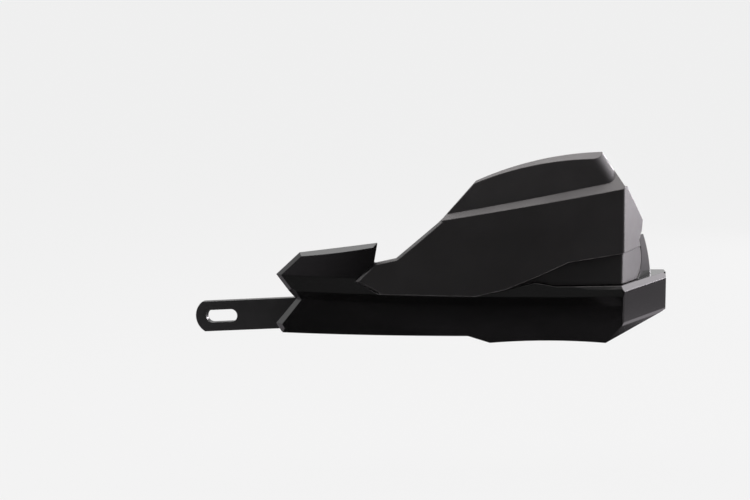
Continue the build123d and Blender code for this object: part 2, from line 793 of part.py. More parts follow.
def carrier_front(point):
    """Y of the carrier's front face at a front-view point."""
    x, z = front(point)
    tip = bow_point(CORNER_X - CUT_REACH)
    corner = cut_corner(z)
    if x < tip.X:
        y = bow_point(x).Y
    else:
        y = tip.Y + (corner.Y - tip.Y) * (x - tip.X) / (corner.X - tip.X)
    return y + lean(z) + SHIELD_WALL + FIT_GAP


def shield_seats():
    """Places on the carrier's rear pads where the deflector's screws seat, facing back."""
    seats = []
    for point in SHIELD_SCREWS:
        x, z = front(point)
        y = carrier_front(point) + BEAM_WALL + PAD_HEIGHT
        seats.append(Plane((x, y, z), x_dir=(-1, 0, 0), z_dir=(0, 1, 0)))
    return seats


def make_mounting_strap():
    """Flat bar with two screw holes, and a slot at its round inner end."""
    half = STRAP_WIDTH / 2
    crown = sqrt(STRAP_END_RADIUS**2 - half**2)
    shoulder = STRAP_LENGTH - STRAP_END_RADIUS + crown
    end = ThreePointArc((shoulder, -half), (STRAP_LENGTH, 0), (shoulder, half))
    rest = Polyline((shoulder, half), (0, half), (0, -half), (shoulder, -half))
    outline = make_face([end, rest])
    slot_x = STRAP_LENGTH - SLOT_EDGE - SLOT_LENGTH / 2
    outline -= Pos(slot_x, 0) * SlotOverall(SLOT_LENGTH, SLOT_WIDTH)
    hole = STRAP_FASTENER["thread"] + HOLE_CLEARANCE
    for i in range(STRAP_HOLES):
        outline -= Pos(STRAP_HOLE_FIRST + i * STRAP_HOLE_PITCH, 0) * Circle(hole)
    return strap_plane() * extrude(outline, STRAP_THICK)


def make_bush():
    """Steel sleeve in the eye."""
    outer = BUSH_BORE / 2 + BUSH_WALL
    sleeve = Cylinder(outer, EYE_THICK, align=(Align.CENTER, Align.CENTER, Align.MAX))
    return Plane.YZ * (sleeve - Cylinder(BUSH_BORE / 2, 4 * EYE_THICK))


def make_inserts(fastener, seats):
    """Threaded hexagon inserts, one below each seat."""
    length = fastener["insert_length"]
    ring = hexagon_bar(fastener["insert"], -length) - rod(fastener["thread"], -2 * length)
    return [seat * ring for seat in seats]


def make_washers(fastener, seats):
    """Washers, one on each seat."""
    ring = rod(fastener["washer"], fastener["washer_thick"])
    ring -= rod(fastener["thread"] + HOLE_CLEARANCE, 2 * fastener["washer_thick"])
    return [seat * ring for seat in seats]


def make_screws(fastener, seats, reach):
    """Hexagon-head screws, from on top of each washer down to a reach."""
    top = fastener["washer_thick"]
    head = hexagon_bar(fastener["head"] / 2, fastener["head_height"])
    shank = rod(fastener["thread"] - THREAD_CLEARANCE, -reach - top)
    return [seat * Pos(0, 0, top) * (head + shank) for seat in seats]


def main():
    """Build every piece and write it out."""
    os.makedirs("parts", exist_ok=True)
    on_strap = [seat * Pos(0, 0, STRAP_THICK) for seat in strap_seats()]
    in_shield = [seat * Pos(0, 0, -BOSS_SHORT) for seat in shield_seats()]
    strap_reach = STRAP_THICK + STRAP_FASTENER["insert_length"] - SCREW_SHORT
    shield_reach = BOSS_SHORT + SHIELD_FASTENER["insert_length"] - SCREW_SHORT
    pieces = {
        "frame_beam": [make_frame_beam()],
        "wind_deflector": [make_wind_deflector()],
        "mounting_strap": [make_mounting_strap()],
        "bar_end_bush": [make_bush()],
        "strap_inserts": make_inserts(STRAP_FASTENER, strap_seats()),
        "strap_washers": make_washers(STRAP_FASTENER, on_strap),
        "strap_screws": make_screws(STRAP_FASTENER, on_strap, strap_reach),
        "deflector_inserts": make_inserts(SHIELD_FASTENER, in_shield),
        "deflector_washers": make_washers(SHIELD_FASTENER, shield_seats()),
        "deflector_screws": make_screws(SHIELD_FASTENER, shield_seats(), shield_reach),
    }
    for name, solids in pieces.items():
        node = solids[0] if len(solids) == 1 else Compound(children=solids)
        print(name, len(node.solids()), round(node.volume, 1))
        export_step(node, "parts/" + name + ".step")


main()
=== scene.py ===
import logging
from dataclasses import dataclass
from enum import Enum
from functools import cache, reduce
from math import pi, radians, tan
from typing import Any, ClassVar

import bpy
import numpy as np
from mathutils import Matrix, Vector
from numpy.typing import ArrayLike


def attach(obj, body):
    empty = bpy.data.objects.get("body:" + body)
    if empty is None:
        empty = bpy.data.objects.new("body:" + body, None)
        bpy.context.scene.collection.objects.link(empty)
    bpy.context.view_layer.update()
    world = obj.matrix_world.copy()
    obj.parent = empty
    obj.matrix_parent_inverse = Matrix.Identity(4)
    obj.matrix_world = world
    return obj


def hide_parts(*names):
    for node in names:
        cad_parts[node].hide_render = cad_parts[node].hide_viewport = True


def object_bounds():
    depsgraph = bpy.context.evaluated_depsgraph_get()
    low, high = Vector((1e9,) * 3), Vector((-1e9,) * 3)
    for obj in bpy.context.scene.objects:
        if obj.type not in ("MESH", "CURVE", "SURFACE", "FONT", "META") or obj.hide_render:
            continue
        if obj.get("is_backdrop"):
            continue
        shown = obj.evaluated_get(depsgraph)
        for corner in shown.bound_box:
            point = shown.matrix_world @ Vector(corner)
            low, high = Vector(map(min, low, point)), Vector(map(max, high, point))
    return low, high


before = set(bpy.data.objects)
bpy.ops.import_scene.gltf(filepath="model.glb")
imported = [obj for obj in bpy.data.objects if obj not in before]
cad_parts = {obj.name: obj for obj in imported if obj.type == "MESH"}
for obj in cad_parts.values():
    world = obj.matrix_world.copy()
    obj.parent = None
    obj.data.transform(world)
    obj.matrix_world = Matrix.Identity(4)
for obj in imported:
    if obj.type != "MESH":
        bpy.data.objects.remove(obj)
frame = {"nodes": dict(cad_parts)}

LOG = logging.getLogger("hand_guard")
BODY = "root"
TURNS = 48  # points round a turned piece
SHARP_CORNER = 25.0  # degrees
SHADER_SAMPLES = 8
NOISE_ROUGHNESS = 0.55
WELD_DECIMALS = 6  # of a metre, to which two points are one
SURROUND = 0.877  # level of the background
DIM_FLOOR = 0.01  # level of the floor in front, in reflections
FLOOR_SLANT = -0.8  # share of X added to Y along the slant

Colour = tuple[float, float, float]
Point = tuple[float, float, float]
Nodes = dict[str, bpy.types.Object]
Socket = bpy.types.NodeSocket

INBOARD: Point = (-1.0, 0.0, 0.0)
UP: Point = (0.0, 0.0, 1.0)
WHITE: Colour = (1.0, 1.0, 1.0)
WARM: Colour = (1.0, 0.945, 0.950)
ROSE: Colour = (1.0, 0.940, 1.000)


class Kind(Enum):
    """Shader nodes that the finishes are made of, by what they do."""

    COORDINATES = "ShaderNodeTexCoord"
    MAPPING = "ShaderNodeMapping"
    NOISE = "ShaderNodeTexNoise"
    RAMP = "ShaderNodeMapRange"
    MIX_COLOUR = "ShaderNodeMix"
    MATHS = "ShaderNodeMath"
    VECTOR_MATHS = "ShaderNodeVectorMath"
    BUMP = "ShaderNodeBump"
    ROUND_EDGE = "ShaderNodeBevel"
    CREASE_SHADE = "ShaderNodeAmbientOcclusion"
    SPLIT = "ShaderNodeSeparateXYZ"
    SURFACE = "ShaderNodeBsdfPrincipled"
    CHALK = "ShaderNodeBsdfDiffuse"
    GLOW = "ShaderNodeEmission"
    BLEND = "ShaderNodeMixShader"
    RAYS = "ShaderNodeLightPath"
    SKY = "ShaderNodeBackground"
    MATERIAL_OUT = "ShaderNodeOutputMaterial"
    WORLD_OUT = "ShaderNodeOutputWorld"


class Slot(Enum):
    """Material slots of the pieces that this scene builds."""

    SCREW = "screw_black"
    STEEL = "zinc_steel"


class Heading(Enum):
    """Where a corner of each screw head in a set points."""

    INBOARD = "inboard"
    ROW = "row"


class Along(Enum):
    """Directions on the floor that its brightness may follow."""

    RIGHT = "right"
    BACK = "back"
    SLANT = "slant"


@dataclass(frozen=True)
class Ramp:
    """Smooth change of a value: between low and high, it goes from start to end."""

    low: float
    high: float
    start: float = 0.0
    end: float = 1.0


class Graph:
    """A node tree under construction, with short ways to add and join nodes."""

    def __init__(self, tree: bpy.types.NodeTree) -> None:
        """Empty the tree and keep it.

        Args:
            tree: Node tree of a material or of the world.
        """
        self.tree = tree
        self.tree.nodes.clear()

    def add(self, kind: Kind, sockets: dict[str, Any] | None = None, **settings: Any) -> bpy.types.Node:
        """Add one node.

        Args:
            kind: What the node does.
            sockets: Input name to a value, or to the output socket that feeds it.
            settings: Properties of the node itself.

        Returns:
            The new node.
        """
        node = self.tree.nodes.new(kind.value)
        for name, value in settings.items():
            setattr(node, name, value)
        for name, value in (sockets or {}).items():
            self.feed(node, name, value)
        return node

    def feed(self, node: bpy.types.Node, name: str, value: Any) -> None:
        """Set an input, or join an output socket to it.

        Args:
            node: Node that has the input.
            name: Name of the input, or its index written as a number.
            value: Plain value or output socket.
        """
        target = node.inputs[int(name)] if name.isdigit() else node.inputs[name]
        if isinstance(value, Socket):
            self.tree.links.new(value, target)
        else:
            target.default_value = value

    def sum(self, first: Any, second: Any) -> Socket:
        """Add two values."""
        return self.add(Kind.MATHS, {"0": first, "1": second}, operation="ADD").outputs[0]

    def product(self, first: Any, second: Any) -> Socket:
        """Multiply two values."""
        return self.add(Kind.MATHS, {"0": first, "1": second}, operation="MULTIPLY").outputs[0]

    def larger(self, first: Any, second: Any) -> Socket:
        """Take the larger of two values."""
        return self.add(Kind.MATHS, {"0": first, "1": second}, operation="MAXIMUM").outputs[0]

    def ramp(self, value: Socket, ramp: Ramp) -> Socket:
        """Carry a value smoothly from one range to another.

        Args:
            value: Socket to read.
            ramp: Range that is read, and the results at its two ends.

        Returns:
            The result's socket.
        """
        sockets = {
            "Value": value,
            "From Min": ramp.low,
            "From Max": ramp.high,
            "To Min": ramp.start,
            "To Max": ramp.end,
        }
        return self.add(Kind.RAMP, sockets, interpolation_type="SMOOTHSTEP").outputs[0]

    def tint(self, share: Socket, first: Any, second: Colour) -> Socket:
        """Blend two colours.

        Args:
            share: Socket that is 0 for the first colour and 1 for the second.
            first: First colour, or the socket that gives it.
            second: Second colour.

        Returns:
            The blended colour's socket.
        """
        start = solid(first) if isinstance(first, tuple) else first
        sockets = {"0": share, "6": start, "7": solid(second)}
        return self.add(Kind.MIX_COLOUR, sockets, data_type="RGBA").outputs[2]

    def noise(self, place: Socket, size: float, detail: float) -> Socket:
        """Make cloudy noise.

        Args:
            place: Coordinates in metres.
            size: Length of one cloud in metres.
            detail: Number of finer layers.

        Returns:
            The noise's value, about 0.5 on average.
        """
        sockets = {"Vector": place, "Scale": 1.0 / size, "Detail": detail, "Roughness": NOISE_ROUGHNESS}
        return self.add(Kind.NOISE, sockets).outputs[0]

    def round_edge(self, radius: float) -> Socket:
        """Give the surface's direction as if its edges were rounded."""
        return self.add(Kind.ROUND_EDGE, {"Radius": radius}, samples=SHADER_SAMPLES).outputs[0]

    def bump(self, height: Socket, strength: float, distance: float, way: Socket) -> Socket:
        """Raise a fine relief.

        Args:
            height: Socket with the relief's height, 0 to 1.
            strength: Share of the relief that shows.
            distance: Height of the relief in metres.
            way: Socket with the surface's direction before the relief.

        Returns:
            Socket with the surface's direction after it.
        """
        sockets = {"Strength": strength, "Distance": distance, "Height": height, "Normal": way}
        return self.add(Kind.BUMP, sockets).outputs[0]


def unit(way: np.ndarray) -> np.ndarray:
    """Scale a direction to a length of one."""
    return way / np.linalg.norm(way)


def solid(colour: Colour) -> tuple[float, float, float, float]:
    """Give a colour its fourth value, which makes it solid."""
    return (*colour, 1.0)


def grey(level: float) -> tuple[float, float, float, float]:
    """Give a solid grey of one level."""
    return solid((level, level, level))


def new_material(name: str) -> tuple[bpy.types.Material, Graph]:
    """Make an empty material.

    Args:
        name: Name of the material.

    Returns:
        The material, and its node tree to build on.
    """
    made = bpy.data.materials.new(name)
    made.use_nodes = True
    return made, Graph(made.node_tree)


def put_on(node: bpy.types.Object, material: bpy.types.Material) -> None:
    """Put one material in every slot of an object.

    Args:
        node: Object to dress.
        material: Finish to use.
    """
    if not node.material_slots:
        node.data.materials.append(material)
    for held in node.material_slots:
        held.material = material


@dataclass(frozen=True)
class MouldedPlastic:
    """Black moulded plastic: a dark tone with faint flow marks, and a grained or polished skin."""

    name: str
    tone: Colour
    pale: Colour
    # Paler tone of the edges: partly wear, partly painted highlight.
    edge_wear_and_highlight_tone: Colour
    roughness: float
    roughness_spread: float
    specular: float
    grain: float
    grain_height: float
    grain_strength: float
    edge: float
    sheen: float = 0.0
    sheen_roughness: float = 0.45
    # Reach of the painted shade in creases, and the share of shine left inside it.
    crease_shade: float = 0.0025
    crease_shade_shine: float = 0.1
    cloud: float = 0.045
    flow_scale: Point = (9.0, 60.0, 60.0)
    speck: float = 0.0011
    gloss_patch: float = 0.02
    edge_mark_patch: float = 0.004

    # Ranges of noise, of openness for the painted crease shade and of the cosine of an edge's turn.
    GLOSS_NOISE: ClassVar[tuple[float, float]] = (0.3, 0.7)
    CREASE_SHADE_OPEN: ClassVar[tuple[float, float]] = (0.55, 0.97)
    FLOW: ClassVar[Ramp] = Ramp(0.75, 1.3, 0.0, 0.55)
    SPECKS: ClassVar[Ramp] = Ramp(0.66, 0.78, 0.0, 0.5)
    EDGE_TURN: ClassVar[Ramp] = Ramp(0.985, 0.80)
    EDGE_MARK_PATCHES: ClassVar[Ramp] = Ramp(0.30, 0.60, 0.25, 1.0)

    @cache
    def material(self) -> bpy.types.Material:
        """Make the material.

        Returns:
            Plastic whose tone, roughness and grain vary over Object coordinates. Its edges are
            rounded and painted paler, partly as wear and partly as painted highlight, and its
            narrow creases shine less, as painted shade.
        """
        made, graph = new_material(self.name)
        spot = graph.add(Kind.COORDINATES)
        place = spot.outputs["Object"]
        rounded = graph.round_edge(self.edge)
        skin = graph.noise(place, self.grain, detail=2.0)
        shades = graph.tint(self.pale_share(graph, place), self.tone, self.pale)
        low, high = self.roughness - self.roughness_spread, self.roughness + self.roughness_spread
        gloss = graph.noise(place, self.gloss_patch, detail=4.0)
        # Painted shade: ambient occlusion dims the shine in narrow creases and gaps between parts.
        crease_shade = {"Distance": self.crease_shade}
        crease_openness = graph.add(Kind.CREASE_SHADE, crease_shade, samples=SHADER_SAMPLES).outputs["AO"]
        painted_crease_shade = Ramp(*self.CREASE_SHADE_OPEN, self.crease_shade_shine * self.specular, self.specular)
        # Edges painted paler in patches: partly wear, partly painted highlight along the edges.
        edge_wear_and_highlight = self.edge_wear_and_highlight_share(graph, place, rounded, spot.outputs["Normal"])
        surface = graph.add(
            Kind.SURFACE,
            {
                "Base Color": graph.tint(edge_wear_and_highlight, shades, self.edge_wear_and_highlight_tone),
                "Roughness": graph.ramp(gloss, Ramp(*self.GLOSS_NOISE, low, high)),
                "Specular IOR Level": graph.ramp(crease_openness, painted_crease_shade),
                "Sheen Weight": self.sheen,
                "Sheen Roughness": self.sheen_roughness,
                "Normal": graph.bump(skin, self.grain_strength, self.grain_height, rounded),
            },
        )
        graph.add(Kind.MATERIAL_OUT, {"Surface": surface.outputs[0]})
        return made

    def pale_share(self, graph: Graph, place: Socket) -> Socket:
        """Spread flow marks and specks.

        Args:
            graph: Node tree of the material.
            place: Coordinates in metres.

        Returns:
            Socket that is 0 for the dark tone and 1 for the pale one.
        """
        along = graph.add(Kind.MAPPING, {"Vector": place, "Scale": self.flow_scale}).outputs[0]
        clouds = graph.noise(place, self.cloud, detail=3.0)
        streaks = graph.noise(along, size=1.0, detail=2.0)
        specks = graph.noise(place, self.speck, detail=1.0)
        marks = graph.ramp(graph.sum(clouds, streaks), self.FLOW)
        return graph.larger(marks, graph.ramp(specks, self.SPECKS))

    def edge_wear_and_highlight_share(self, graph: Graph, place: Socket, rounded: Socket, flat: Socket) -> Socket:
        """Find the edges and mark them paler in patches, partly as wear and partly as painted
        highlight.

        Args:
            graph: Node tree of the material.
            place: Coordinates in metres.
            rounded: Direction of the surface with rounded edges.
            flat: Direction of the surface as it is.

        Returns:
            Socket that is 0 on a face and up to 1 on an edge, where the two directions part.
        """
        pair = {"0": rounded, "1": flat}
        turn = graph.add(Kind.VECTOR_MATHS, pair, operation="DOT_PRODUCT").outputs["Value"]
        patches = graph.ramp(graph.noise(place, self.edge_mark_patch, detail=3.0), self.EDGE_MARK_PATCHES)
        return graph.product(graph.ramp(turn, self.EDGE_TURN), patches)


@dataclass(frozen=True)
class WorkedMetal:
    """Metal with a directionless fine polish, and a few darker stains."""

    name: str
    tone: Colour
    stain: Colour
    metallic: float
    roughness: float
    scratch: float
    scratch_height: float = 0.0001
    scratch_strength: float = 0.12
    stain_size: float = 0.006
    edge: float = 0.0002

    STAINS: ClassVar[Ramp] = Ramp(0.42, 0.72)
    GLOSS_NOISE: ClassVar[tuple[float, float]] = (0.25, 0.75)
    GLOSS_SHARES: ClassVar[tuple[float, float]] = (0.75, 1.3)

    @cache
    def material(self) -> bpy.types.Material:
        """Make the material.

        Returns:
            Metal whose tone and roughness vary over Object coordinates.
        """
        made, graph = new_material(self.name)
        place = graph.add(Kind.COORDINATES).outputs["Object"]
        stains = graph.ramp(graph.noise(place, self.stain_size, detail=4.0), self.STAINS)
        fine = graph.noise(place, self.scratch, detail=2.0)
        low, high = (self.roughness * share for share in self.GLOSS_SHARES)
        rounded = graph.round_edge(self.edge)
        surface = graph.add(
            Kind.SURFACE,
            {
                "Base Color": graph.tint(stains, self.tone, self.stain),
                "Metallic": self.metallic,
                "Roughness": graph.ramp(fine, Ramp(*self.GLOSS_NOISE, low, high)),
                "Normal": graph.bump(fine, self.scratch_strength, self.scratch_height, rounded),
            },
        )
        graph.add(Kind.MATERIAL_OUT, {"Surface": surface.outputs[0]})
        return made


DEFLECTOR_SKIN = MouldedPlastic(
    name="deflector_grained_black",
    tone=(0.0054, 0.0047, 0.0050), pale=(0.0082, 0.0072, 0.0076), edge_wear_and_highlight_tone=(0.130, 0.121, 0.123),
    roughness=0.47, roughness_spread=0.04, specular=0.42,
    grain=0.0007, grain_height=0.0002, grain_strength=0.10, edge=0.0009, sheen=0.15,
)
BEAM_SKIN = MouldedPlastic(
    name="beam_polished_black",
    tone=(0.0020, 0.0020, 0.0020), pale=(0.0032, 0.0031, 0.0032), edge_wear_and_highlight_tone=(0.010, 0.010, 0.010),
    roughness=0.09, roughness_spread=0.015, specular=0.50,
    grain=0.0050, grain_height=0.0004, grain_strength=0.05, edge=0.0005,
)
STRAP_SKIN = MouldedPlastic(
    name="strap_satin_coating",
    tone=(0.0050, 0.0050, 0.0051), pale=(0.0078, 0.0078, 0.0079), edge_wear_and_highlight_tone=(0.110, 0.110, 0.112),
    roughness=0.42, roughness_spread=0.05, specular=0.50,
    grain=0.0009, grain_height=0.0002, grain_strength=0.14, edge=0.0007,
)
ZINC = WorkedMetal(
    name="zinc_plated_steel", tone=(0.58, 0.59, 0.60), stain=(0.46, 0.46, 0.45),
    metallic=1.0, roughness=0.30, scratch=0.0006,
)
BRASS = WorkedMetal(
    name="turned_brass", tone=(0.72, 0.52, 0.24), stain=(0.55, 0.38, 0.17),
    metallic=1.0, roughness=0.28, scratch=0.0005,
)
BLACK_OXIDE = WorkedMetal(
    name="black_oxide_steel", tone=(0.030, 0.030, 0.032), stain=(0.018, 0.018, 0.019),
    metallic=0.75, roughness=0.38, scratch=0.0005,
)


@dataclass(frozen=True)
class Seat:
    """Place of one small part: a point, a direction across it and the direction out of it."""

    place: ArrayLike
    across: ArrayLike
    out: ArrayLike

    def axes(self) -> np.ndarray:
        """Give the three directions as rows: across, at right angles to it, and out."""
        return np.stack([self.across, np.cross(self.out, self.across), self.out])


@dataclass(frozen=True)
class Shell:
    """Closed surface: points in metres, with four-cornered and three-cornered faces."""

    points: np.ndarray
    quads: np.ndarray
    fans: np.ndarray

    def at(self, seats: tuple[Seat, ...]) -> "Shell":
        """Repeat the surface at several seats.

        A point (a, b, c) moves to the seat's place, plus a along its first direction, b along its
        second and c along its third.

        Args:
            seats: Where the copies go.

        Returns:
            One surface with all the copies.
        """
        axes = np.stack([seat.axes() for seat in seats])
        places = np.array([seat.place for seat in seats])
        moved = np.einsum("pk,skj->spj", self.points, axes) + places[:, None, :]
        shift = (np.arange(len(seats)) * len(self.points))[:, None, None]
        quads, fans = self.quads + shift, self.fans + shift
        return Shell(moved.reshape(-1, 3), quads.reshape(-1, 4), fans.reshape(-1, 3))

    def piece(self, name: str, node: str, slot: str, material: bpy.types.Material) -> str:
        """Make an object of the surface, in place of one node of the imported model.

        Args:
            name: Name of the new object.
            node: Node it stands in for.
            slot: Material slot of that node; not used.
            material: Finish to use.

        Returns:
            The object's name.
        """
        mesh = bpy.data.meshes.new(name)
        mesh.from_pydata(self.points.tolist(), [], self.quads.tolist() + self.fans.tolist())
        mesh.polygons.foreach_set("use_smooth", np.ones(len(mesh.polygons), dtype=bool))
        mesh.set_sharp_from_angle(angle=radians(SHARP_CORNER))
        mesh.materials.append(material)
        made = bpy.data.objects.new(name, mesh)
        bpy.context.scene.collection.objects.link(made)
        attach(made, BODY)
        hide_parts(node)
        return made.name


def turned(radius: np.ndarray, height: np.ndarray, ring: bool) -> Shell:
    """Turn a profile round an axis.

    Row i of the grids is one step along the profile, column j one angle t. The point there is
    (r cos t, r sin t, z), with r and z read from the two grids. The profile runs down its outer
    side.

    Args:
        radius: Distance from the axis, one row a step and one column an angle.
        height: Height along the axis, in the same layout.
        ring: Whether the profile closes on itself; if not, a point on the axis closes each end.

    Returns:
        The closed surface.
    """
    steps, turns = radius.shape
    angle = np.linspace(0.0, 2.0 * pi, turns, endpoint=False)
    points = np.stack([radius * np.cos(angle), radius * np.sin(angle), height], axis=-1).reshape(-1, 3)
    upper = np.arange(steps * turns).reshape(steps, turns)
    beside = np.roll(upper, -1, axis=1)
    corners = [upper, np.roll(upper, -1, axis=0), np.roll(beside, -1, axis=0), beside]
    faces = np.stack(corners, axis=-1)
    if ring:
        return Shell(points, faces.reshape(-1, 4), np.empty((0, 3), dtype=int))
    poles = np.array([[0.0, 0.0, height[0].mean()], [0.0, 0.0, height[-1].mean()]])
    first, last = np.full(turns, len(points)), np.full(turns, len(points) + 1)
    top = np.stack([first, upper[0], beside[0]], axis=-1)
    bottom = np.stack([last, beside[-1], upper[-1]], axis=-1)
    points = np.concatenate([points, poles])
    return Shell(points, faces[:-1].reshape(-1, 4), np.concatenate([top, bottom]))


@dataclass(frozen=True)
class RoundedRing:
    """Ring of rectangular section with rounded corners: a washer or a bush."""

    inner: float
    outer: float
    low: float
    high: float
    corner: float
    corner_steps: int = 5

    def surface(self) -> Shell:
        """Build the ring about its axis.

        The profile is four quarter circles, one at each corner of the section, followed clockwise;
        the straight sides join the end of one to the start of the next.

        Returns:
            The closed surface.
        """
        quarter = np.linspace(pi / 2.0, 0.0, self.corner_steps)
        angle = quarter[None, :] - (pi / 2.0) * np.arange(4)[:, None]
        right, left = self.outer - self.corner, self.inner + self.corner
        top, bottom = self.high - self.corner, self.low + self.corner
        across = np.array([right, right, left, left])[:, None] + self.corner * np.cos(angle)
        along = np.array([top, bottom, bottom, top])[:, None] + self.corner * np.sin(angle)
        even = np.ones((1, TURNS))
        return turned(across.reshape(-1, 1) * even, along.reshape(-1, 1) * even, ring=True)


@dataclass(frozen=True)
class HexScrew:
    """Hexagon-head screw with a chamfered head, a face under it and a rolled thread."""

    flats: float
    head_height: float
    thread: float
    pitch: float
    length: float
    face_height: float = 0.0004
    face_share: float = 0.94
    chamfer: float = 30.0
    groove_share: float = 0.54
    rings_a_turn: int = 8

    def surface(self, lift: float) -> Shell:
        """Build the screw about its axis.

        At angle t the head's radius is half the width across flats over the cosine of the angle
        from the nearest flat's middle. A flat cone cuts its top, so the rim's height falls as the
        radius grows.

        Args:
            lift: Height of the head's underside, which is the washer's top.

        Returns:
            The closed surface.
        """
        angle = np.linspace(0.0, 2.0 * pi, TURNS, endpoint=False)
        half, even = self.flats / 2.0, np.ones(TURNS)
        hexagon = half / np.cos(angle % (pi / 3.0) - pi / 6.0)
        face = half * self.face_share * even
        rim = self.head_height - (hexagon - face) * tan(radians(self.chamfer))
        depth = np.arange(0.0, self.length - self.pitch, self.pitch / self.rings_a_turn)[:, None]
        under = self.face_height * even
        tip = (self.thread - self.groove_share * self.pitch) * even
        radius = [face, hexagon, hexagon, face, face, *self.shank(depth, angle), tip]
        height = [self.head_height * even, rim, under, under, 0.0 * even]
        height += [*(-depth * even), -self.length * even]
        return turned(np.stack(radius), np.stack(height) + lift, ring=False)

    def shank(self, depth: np.ndarray, angle: np.ndarray) -> np.ndarray:
        """Cut the thread.

        The radius swings from crest to root and back once a pitch, with a phase that turns with
        the angle, so the groove is a helix. It fades out over one pitch at both ends.

        Args:
            depth: Distances below the head, as a column.
            angle: Angles round the axis, as a row.

        Returns:
            The shank's radius, one row a distance and one column an angle.
        """
        phase = (depth / self.pitch + angle[None, :] / (2.0 * pi)) % 1.0
        ends = np.minimum(depth, self.length - self.pitch - depth) / self.pitch
        cut = (1.0 - np.abs(2.0 * phase - 1.0)) * np.clip(ends, 0.0, 1.0)
        return self.thread - self.groove_share * self.pitch * cut


@dataclass(frozen=True)
class ScrewSet:
    """Screws of one size with their washers, as nodes of one group name."""

    group: str
    screw: HexScrew
    washer: RoundedRing
    heading: Heading
    leap: float = 0.01

    def build(self, nodes: Nodes) -> list[str]:
        """Build the screws and washers, and give the inserts their finish.

        Args:
            nodes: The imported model's objects by name.

        Returns:
            Names of the built and dressed pieces.
        """
        screws, washers, inserts = (f"{self.group}_{kind}" for kind in ("screws", "washers", "inserts"))
        put_on(nodes[inserts], BRASS.material())
        seats = self.seats(nodes[washers])
        bolts = self.screw.surface(self.washer.high).at(seats)
        discs = self.washer.surface().at(seats)
        return [
            bolts.piece(f"{screws}_threaded", screws, Slot.SCREW.value, BLACK_OXIDE.material()),
            discs.piece(f"{washers}_rounded", washers, Slot.STEEL.value, ZINC.material()),
            inserts,
        ]

    def seats(self, washers: bpy.types.Object) -> tuple[Seat, ...]:
        """Find where the screws sit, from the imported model's washers.

        The washers stand apart along X, so their points are split where X leaps. The mean of a
        washer's points is its middle. Across is inboard or along the row, and out is level and at
        right angles to it.

        Args:
            washers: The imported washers, whose points lie in the part's frame.

        Returns:
            The seats, from the inner one outwards.
        """
        flat = np.empty(3 * len(washers.data.vertices), dtype=np.float32)
        washers.data.vertices.foreach_get("co", flat)
        points = np.unique(flat.reshape(-1, 3).astype(float).round(WELD_DECIMALS), axis=0)
        leaps = np.flatnonzero(np.diff(points[:, 0]) > self.leap) + 1
        middles = [washer.mean(axis=0) for washer in np.split(points, leaps)]
        row = self.heading is Heading.ROW
        across = unit(middles[0] - middles[-1] if row else np.array(INBOARD))
        out = unit(np.cross(across, UP))
        half_way = out * (self.washer.low + self.washer.high) / 2.0
        return tuple(Seat(middle - half_way, across, out) for middle in middles)


@dataclass
class MouldedFrame:
    """Frame beam with its fin, carrier and bar-end eye, and the bush in the eye."""

    bush: RoundedRing = RoundedRing(inner=0.0042, outer=0.0060, low=-0.0100, high=0.0, corner=0.0005)
    bore: Seat = Seat(place=(0.0, 0.0, 0.0), across=(0.0, 1.0, 0.0), out=(1.0, 0.0, 0.0))

    def build(self, nodes: Nodes) -> list[str]:
        """Give the frame its polished skin and build the bush.

        Args:
            nodes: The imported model's objects by name.

        Returns:
            Names of the built and dressed pieces.
        """
        put_on(nodes["frame_beam"], BEAM_SKIN.material())
        sleeve = self.bush.surface().at((self.bore,))
        made = sleeve.piece("bar_end_bush_turned", "bar_end_bush", Slot.STEEL.value, ZINC.material())
        return ["frame_beam", made]


@dataclass
class WindDeflector:
    """Faceted deflector shell with the four screws that hold it."""

    screws: ScrewSet = ScrewSet(
        group="deflector",
        screw=HexScrew(flats=0.0080, head_height=0.0035, thread=0.00245, pitch=0.0008, length=0.0064),
        washer=RoundedRing(inner=0.00275, outer=0.0075, low=0.0, high=0.0012, corner=0.0003),
        heading=Heading.INBOARD,
    )

    def build(self, nodes: Nodes) -> list[str]:
        """Give the deflector its grained skin and build its screws.

        Args:
            nodes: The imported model's objects by name.

        Returns:
            Names of the built and dressed pieces.
        """
        put_on(nodes["wind_deflector"], DEFLECTOR_SKIN.material())
        return ["wind_deflector", *self.screws.build(nodes)]


@dataclass
class StrapMount:
    """Slotted strap with the two screws that hold it."""

    screws: ScrewSet = ScrewSet(
        group="strap",
        screw=HexScrew(flats=0.0100, head_height=0.0040, thread=0.00295, pitch=0.0010, length=0.0121),
        washer=RoundedRing(inner=0.00325, outer=0.0065, low=0.0, high=0.0016, corner=0.0003),
        heading=Heading.ROW,
    )

    def build(self, nodes: Nodes) -> list[str]:
        """Give the strap its satin coat and build its screws.

        Args:
            nodes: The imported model's objects by name.

        Returns:
            Names of the built and dressed pieces.
        """
        put_on(nodes["mounting_strap"], STRAP_SKIN.material())
        return ["mounting_strap", *self.screws.build(nodes)]


@dataclass(frozen=True)
class Panel:
    """Rectangular lamp that glows evenly towards one point."""

    name: str
    place: Point
    aim: Point
    size: tuple[float, float]
    radiance: float
    tone: Colour = WHITE

    def hang(self) -> None:
        """Make the lamp; its power is pi times its area times its radiance."""
        lamp = bpy.data.lights.new(self.name, "AREA")
        lamp.shape = "RECTANGLE"
        lamp.size, lamp.size_y = self.size
        lamp.energy = pi * self.size[0] * self.size[1] * self.radiance
        lamp.color = self.tone
        hung = bpy.data.objects.new(self.name, lamp)
        bpy.context.scene.collection.objects.link(hung)
        hung.location = self.place
        way = np.subtract(self.aim, self.place)
        hung.rotation_euler = Vector(way).to_track_quat("-Z", "Y").to_euler()
        hung.visible_camera = False


@dataclass(frozen=True)
class Fade:
    """Brightness of a floor patch along one direction."""

    along: Along
    ramp: Ramp


